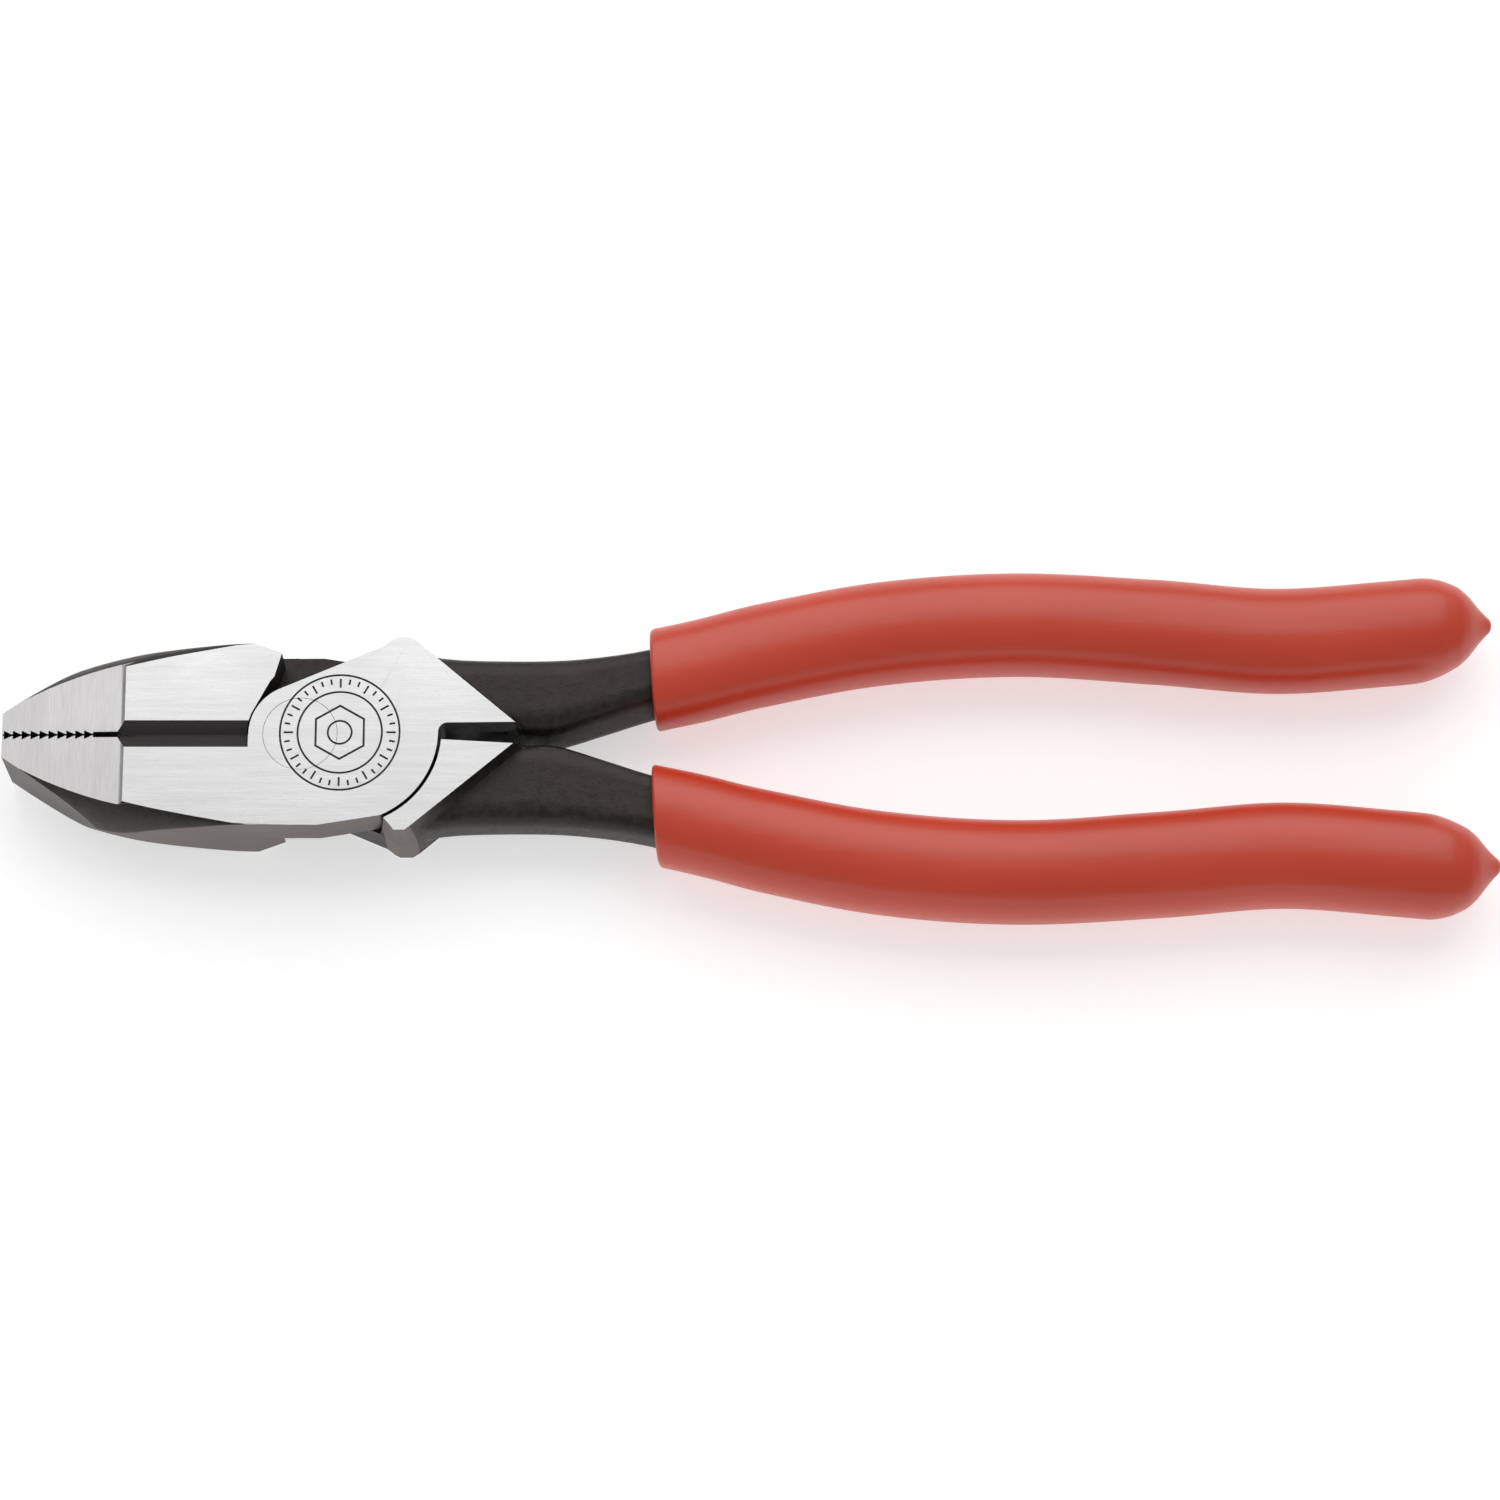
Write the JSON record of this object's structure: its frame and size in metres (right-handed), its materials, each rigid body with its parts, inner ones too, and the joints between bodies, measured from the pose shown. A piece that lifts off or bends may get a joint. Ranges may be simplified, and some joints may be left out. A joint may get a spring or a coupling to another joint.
{
  "type": "lineman pliers",
  "caption": "Side-cutting pliers with a flat toothed nose, cutting knives behind it, a riveted lap joint and dipped plastisol handle sleeves.",
  "frame": {"origin": "on the pivot axis, in the plane of the back face of the head", "axes": "+X from the pivot towards the handles, along the centre line of the closed tool; +Z out of the front face, along the rivet"},
  "size_m": [0.2382, 0.0578, 0.016],
  "materials": {
    "forged_steel": "forged steel with a black oxide skin on the tangs and flanks, ground bright on both faces",
    "ground_steel": "ground flush with the face, fine straight grain",
    "grip_plastisol": "smooth dipped red plastisol, satin"
  },
  "bodies": {
    "front_side": {"front_half": "forged_steel", "front_half_grip": "grip_plastisol", "pivot_rivet": "ground_steel"},
    "back_side": {"back_half": "forged_steel", "back_half_grip": "grip_plastisol"}
  },
  "joints": [
    {"name": "pivot", "type": "hinge", "parent": "front_side", "child": "back_side", "pos_m": [0, 0, 0.008], "axis": [0, 0, -1], "range_deg": [0, 38]}
  ]
}
